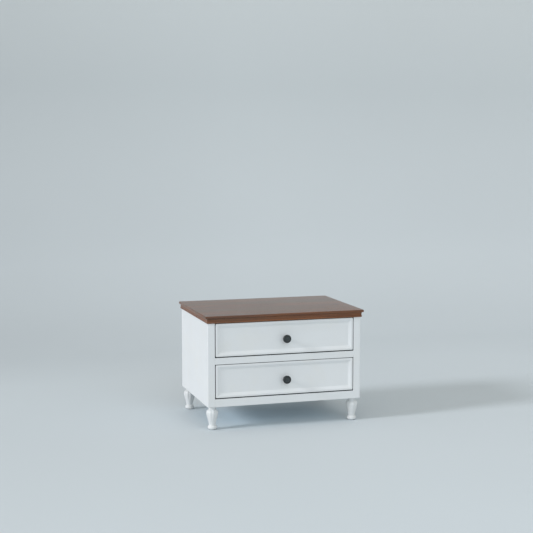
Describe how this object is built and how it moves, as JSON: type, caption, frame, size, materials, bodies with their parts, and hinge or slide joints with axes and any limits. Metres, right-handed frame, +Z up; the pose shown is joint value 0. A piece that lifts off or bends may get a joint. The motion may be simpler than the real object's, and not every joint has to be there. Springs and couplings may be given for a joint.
{
  "type": "nightstand with drawers",
  "caption": "Low white nightstand with a moulded walnut top, inset panelled drawers with round dark knobs on ball-bearing slides, and short turned vase feet.",
  "frame": {"origin": "on the floor under the middle of the whole piece, knobs included", "axes": "+X to the right as seen from the front, -Y out of the drawer fronts, +Z up"},
  "size_m": [0.62, 0.451, 0.431],
  "materials": {
    "white_paint": "satin white sprayed lacquer on board",
    "walnut": "satin oiled walnut",
    "birch_ply": "clear matt birch",
    "beech": "bare planed beech",
    "back_ply": "pale primed thin board",
    "zinc_steel": "bright zinc plated",
    "dark_iron": "satin blackened",
    "nylon": "matt moulded white nylon"
  },
  "bodies": {
    "carcass": {"base_board": "white_paint", "side_panel_left": "white_paint", "side_panel_right": "white_paint", "back_panel": "back_ply", "stile_left": "white_paint", "stile_right": "white_paint", "bottom_rail": "white_paint", "mid_rail": "white_paint", "stretcher_front": "beech", "stretcher_back": "beech", "top_board": "walnut", "moulding_front": "walnut", "moulding_left": "walnut", "moulding_right": "walnut", "top_batten": "walnut", "foot_front_left": "white_paint", "foot_front_right": "white_paint", "foot_back_left": "white_paint", "foot_back_right": "white_paint", "foot_bolts": "zinc_steel", "foot_inserts": "zinc_steel", "floor_glides": "nylon", "packers_left": "beech", "packers_right": "beech", "runner_upper_left": "zinc_steel", "runner_upper_right": "zinc_steel", "runner_lower_left": "zinc_steel", "runner_lower_right": "zinc_steel", "runner_screws": "zinc_steel", "top_screws": "zinc_steel", "base_screws": "zinc_steel", "back_screws": "zinc_steel", "frame_dowels": "beech"},
    "upper_drawer": {"upper_front": "white_paint", "upper_box_front": "birch_ply", "upper_box_left": "birch_ply", "upper_box_right": "birch_ply", "upper_box_back": "birch_ply", "upper_box_bottom": "birch_ply", "upper_knob": "dark_iron", "upper_knob_screw": "zinc_steel", "upper_slide_left": "zinc_steel", "upper_slide_right": "zinc_steel", "upper_box_screws": "zinc_steel"},
    "lower_drawer": {"lower_front": "white_paint", "lower_box_front": "birch_ply", "lower_box_left": "birch_ply", "lower_box_right": "birch_ply", "lower_box_back": "birch_ply", "lower_box_bottom": "birch_ply", "lower_knob": "dark_iron", "lower_knob_screw": "zinc_steel", "lower_slide_left": "zinc_steel", "lower_slide_right": "zinc_steel", "lower_box_screws": "zinc_steel"},
    "cage_upper_left": {"ball_cage_upper_left": "zinc_steel"},
    "cage_upper_right": {"ball_cage_upper_right": "zinc_steel"},
    "cage_lower_left": {"ball_cage_lower_left": "zinc_steel"},
    "cage_lower_right": {"ball_cage_lower_right": "zinc_steel"}
  },
  "joints": [
    {"name": "upper_drawer_slide", "type": "slide", "parent": "carcass", "child": "upper_drawer", "axis": [0, -1, 0], "range_m": [0, 0.25]},
    {"name": "lower_drawer_slide", "type": "slide", "parent": "carcass", "child": "lower_drawer", "axis": [0, -1, 0], "range_m": [0, 0.25]},
    {"name": "cage_upper_left_roll", "type": "slide", "parent": "carcass", "child": "cage_upper_left", "axis": [0, -1, 0], "range_m": [0, 0.125]},
    {"name": "cage_upper_right_roll", "type": "slide", "parent": "carcass", "child": "cage_upper_right", "axis": [0, -1, 0], "range_m": [0, 0.125]},
    {"name": "cage_lower_left_roll", "type": "slide", "parent": "carcass", "child": "cage_lower_left", "axis": [0, -1, 0], "range_m": [0, 0.125]},
    {"name": "cage_lower_right_roll", "type": "slide", "parent": "carcass", "child": "cage_lower_right", "axis": [0, -1, 0], "range_m": [0, 0.125]}
  ],
  "couplings": [
    {"joint": "cage_upper_left_roll", "follows": "upper_drawer_slide", "ratio": 0.5},
    {"joint": "cage_upper_right_roll", "follows": "upper_drawer_slide", "ratio": 0.5},
    {"joint": "cage_lower_left_roll", "follows": "lower_drawer_slide", "ratio": 0.5},
    {"joint": "cage_lower_right_roll", "follows": "lower_drawer_slide", "ratio": 0.5}
  ]
}
